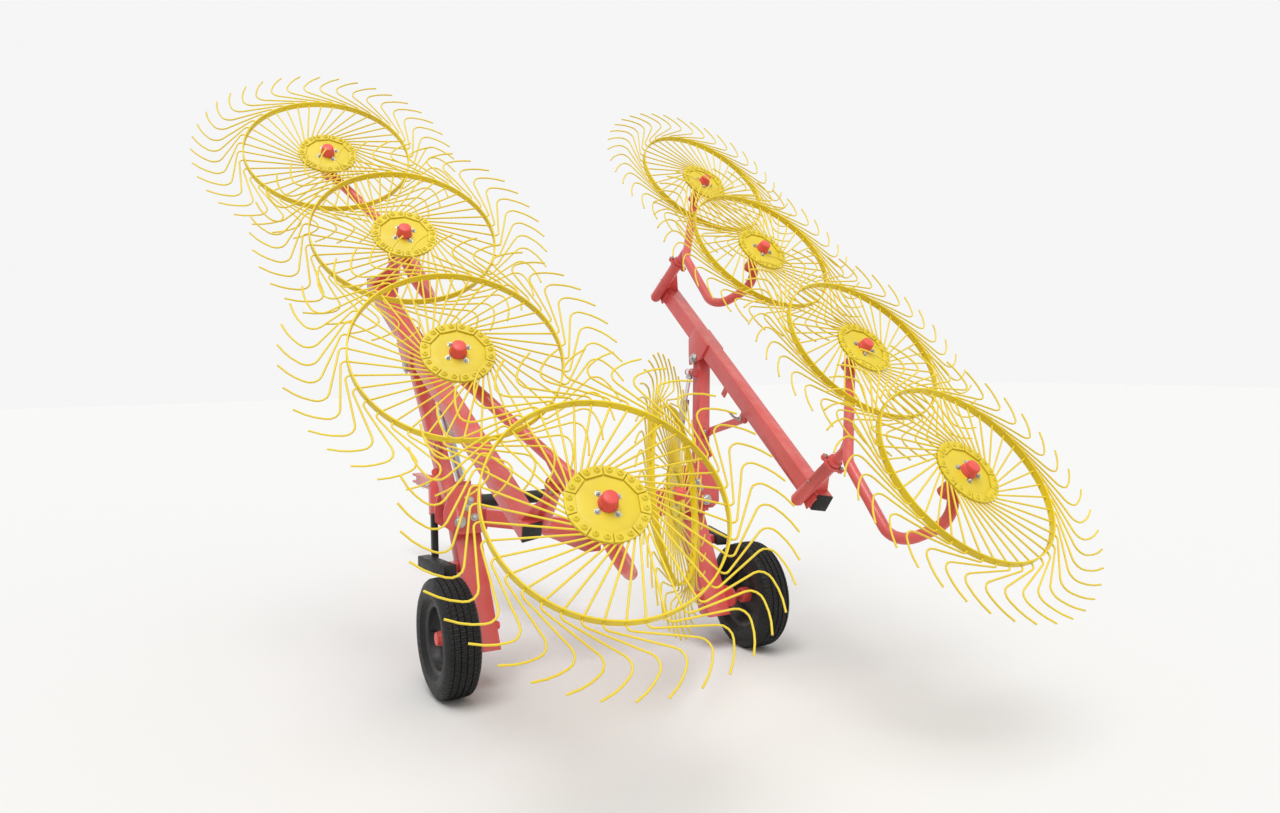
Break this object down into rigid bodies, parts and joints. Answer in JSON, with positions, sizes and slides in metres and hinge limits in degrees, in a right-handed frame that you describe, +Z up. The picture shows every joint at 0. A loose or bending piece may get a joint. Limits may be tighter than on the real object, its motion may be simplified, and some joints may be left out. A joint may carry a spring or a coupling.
{
  "type": "hay wheel rake",
  "caption": "Towed V-shaped finger wheel rake folded up for transport, with sprung wire rake wheels on rocking arms, a kicker wheel, two road wheels and a drawbar on a jack",
  "frame": {"origin": "on the ground in the machine's middle plane, at the middle of its length", "axes": "+X to the machine's right, +Y forward to the hitch, +Z up"},
  "size_m": [3.8398, 6.071, 3.375],
  "materials": {
    "frame_red": "gloss enamel",
    "wheel_yellow": "gloss enamel",
    "rim_black": "gloss enamel",
    "tyre": "moulded rubber",
    "black_plastic": "moulded",
    "zinc_grey": "zinc plated",
    "chrome": "polished"
  },
  "bodies": {
    "frame": {"cross_frame": "frame_red", "tongue": "frame_red", "leg_left": "frame_red", "leg_right": "frame_red", "stowed_gear": "black_plastic"},
    "jack": {"jack_leg": "rim_black"},
    "road_wheel_right": {"rim_right": "rim_black", "tyre_right": "tyre"},
    "arm_right": {"lift_post_right": "frame_red", "boom_right": "frame_red", "boom_caps_right": "black_plastic", "lock_strut_right": "frame_red"},
    "rocker_rear_right": {"rocker_rear_right": "frame_red"},
    "rake_wheel_1_right": {"rake_wheel_1_right": "wheel_yellow", "wheel_hub_1_right": "frame_red"},
    "rake_wheel_2_right": {"rake_wheel_2_right": "wheel_yellow", "wheel_hub_2_right": "frame_red"},
    "rocker_front_right": {"rocker_front_right": "frame_red"},
    "rake_wheel_3_right": {"rake_wheel_3_right": "wheel_yellow", "wheel_hub_3_right": "frame_red"},
    "rake_wheel_4_right": {"rake_wheel_4_right": "wheel_yellow", "wheel_hub_4_right": "frame_red"},
    "fold_barrel_right": {"fold_barrel_right": "zinc_grey"},
    "fold_rod_right": {"fold_rod_right": "chrome"},
    "road_wheel_left": {"rim_left": "rim_black", "tyre_left": "tyre"},
    "arm_left": {"lift_post_left": "frame_red", "boom_left": "frame_red", "boom_caps_left": "black_plastic", "lock_strut_left": "frame_red"},
    "rocker_rear_left": {"rocker_rear_left": "frame_red"},
    "rake_wheel_1_left": {"rake_wheel_1_left": "wheel_yellow", "wheel_hub_1_left": "frame_red"},
    "rake_wheel_2_left": {"rake_wheel_2_left": "wheel_yellow", "wheel_hub_2_left": "frame_red"},
    "rocker_front_left": {"rocker_front_left": "frame_red"},
    "rake_wheel_3_left": {"rake_wheel_3_left": "wheel_yellow", "wheel_hub_3_left": "frame_red"},
    "rake_wheel_4_left": {"rake_wheel_4_left": "wheel_yellow", "wheel_hub_4_left": "frame_red"},
    "fold_barrel_left": {"fold_barrel_left": "zinc_grey"},
    "fold_rod_left": {"fold_rod_left": "chrome"},
    "kicker_arm": {"kicker_arm": "frame_red"},
    "kicker_wheel": {"kicker_wheel": "wheel_yellow", "kicker_hub": "frame_red"}
  },
  "joints": [
    {"name": "jack_slide", "type": "slide", "parent": "frame", "child": "jack", "axis": [0, 0, 1], "range_m": [0, 0.25]},
    {"name": "road_wheel_right_spin", "type": "hinge", "parent": "frame", "child": "road_wheel_right", "pos_m": [0.893, -0.834, 0.3], "axis": [1, 0, 0], "continuous": true},
    {"name": "arm_right_fold", "type": "hinge", "parent": "frame", "child": "arm_right", "pos_m": [0.748, -0.537, 0.833], "axis": [0, 1, 0], "range_deg": [0, 78]},
    {"name": "rocker_rear_right_float", "type": "hinge", "parent": "arm_right", "child": "rocker_rear_right", "pos_m": [0.68862, -1.63001, 0.98708], "axis": [-0.1068, 0.7627, -0.6379], "range_deg": [-14, 4]},
    {"name": "rake_wheel_1_right_spin", "type": "hinge", "parent": "rocker_rear_right", "child": "rake_wheel_1_right", "pos_m": [0.83375, -2.57526, 1.17456], "axis": [0.1068, -0.7627, 0.6379], "continuous": true},
    {"name": "rake_wheel_2_right_spin", "type": "hinge", "parent": "rocker_rear_right", "child": "rake_wheel_2_right", "pos_m": [1.06116, -1.64587, 1.70369], "axis": [0.1068, -0.7627, 0.6379], "continuous": true},
    {"name": "rocker_front_right_float", "type": "hinge", "parent": "arm_right", "child": "rocker_front_right", "pos_m": [0.87447, 0.17209, 2.09772], "axis": [-0.1068, 0.7627, -0.6379], "range_deg": [-14, 4]},
    {"name": "rake_wheel_3_right_spin", "type": "hinge", "parent": "rocker_front_right", "child": "rake_wheel_3_right", "pos_m": [1.04361, -0.76896, 2.28619], "axis": [0.1068, -0.7627, 0.6379], "continuous": true},
    {"name": "rake_wheel_4_right_spin", "type": "hinge", "parent": "rocker_front_right", "child": "rake_wheel_4_right", "pos_m": [1.2185, 0.16416, 2.82857], "axis": [0.1068, -0.7627, 0.6379], "continuous": true},
    {"name": "fold_barrel_right_swing", "type": "hinge", "parent": "frame", "child": "fold_barrel_right", "pos_m": [0.658, -0.366, 0.993], "axis": [0, 1, 0], "range_deg": [0, 81]},
    {"name": "fold_rod_right_slide", "type": "slide", "parent": "fold_barrel_right", "child": "fold_rod_right", "axis": [0.2192, 0, 0.9757], "range_m": [0, 0.229]},
    {"name": "road_wheel_left_spin", "type": "hinge", "parent": "frame", "child": "road_wheel_left", "pos_m": [-0.893, -0.834, 0.3], "axis": [1, 0, 0], "continuous": true},
    {"name": "arm_left_fold", "type": "hinge", "parent": "frame", "child": "arm_left", "pos_m": [-0.748, -0.537, 0.833], "axis": [0, -1, 0], "range_deg": [0, 78]},
    {"name": "rocker_rear_left_float", "type": "hinge", "parent": "arm_left", "child": "rocker_rear_left", "pos_m": [-0.68862, -1.63001, 0.98708], "axis": [-0.1068, -0.7627, 0.6379], "range_deg": [-14, 4]},
    {"name": "rake_wheel_1_left_spin", "type": "hinge", "parent": "rocker_rear_left", "child": "rake_wheel_1_left", "pos_m": [-0.83375, -2.57526, 1.17456], "axis": [0.1068, 0.7627, -0.6379], "continuous": true},
    {"name": "rake_wheel_2_left_spin", "type": "hinge", "parent": "rocker_rear_left", "child": "rake_wheel_2_left", "pos_m": [-1.06116, -1.64587, 1.70369], "axis": [0.1068, 0.7627, -0.6379], "continuous": true},
    {"name": "rocker_front_left_float", "type": "hinge", "parent": "arm_left", "child": "rocker_front_left", "pos_m": [-0.87447, 0.17209, 2.09772], "axis": [-0.1068, -0.7627, 0.6379], "range_deg": [-14, 4]},
    {"name": "rake_wheel_3_left_spin", "type": "hinge", "parent": "rocker_front_left", "child": "rake_wheel_3_left", "pos_m": [-1.04361, -0.76896, 2.28619], "axis": [0.1068, 0.7627, -0.6379], "continuous": true},
    {"name": "rake_wheel_4_left_spin", "type": "hinge", "parent": "rocker_front_left", "child": "rake_wheel_4_left", "pos_m": [-1.2185, 0.16416, 2.82857], "axis": [0.1068, 0.7627, -0.6379], "continuous": true},
    {"name": "fold_barrel_left_swing", "type": "hinge", "parent": "frame", "child": "fold_barrel_left", "pos_m": [-0.658, -0.366, 0.993], "axis": [0, -1, 0], "range_deg": [0, 81]},
    {"name": "fold_rod_left_slide", "type": "slide", "parent": "fold_barrel_left", "child": "fold_rod_left", "axis": [-0.2192, 0, 0.9757], "range_m": [0, 0.229]},
    {"name": "kicker_lift", "type": "hinge", "parent": "frame", "child": "kicker_arm", "pos_m": [0, -0.679, 0.74], "axis": [1, 0, 0], "range_deg": [0, 18]},
    {"name": "kicker_spin", "type": "hinge", "parent": "kicker_arm", "child": "kicker_wheel", "pos_m": [0.104, -1.374, 1.001], "axis": [0.7431, -0.6609, 0.1047], "continuous": true}
  ],
  "couplings": [
    {"joint": "fold_barrel_right_swing", "follows": "arm_right_fold", "ratio": 1.0319},
    {"joint": "fold_rod_right_slide", "follows": "arm_right_fold", "m_per_rad": 0.16822},
    {"joint": "fold_barrel_left_swing", "follows": "arm_left_fold", "ratio": 1.0319},
    {"joint": "fold_rod_left_slide", "follows": "arm_left_fold", "m_per_rad": 0.16822}
  ]
}
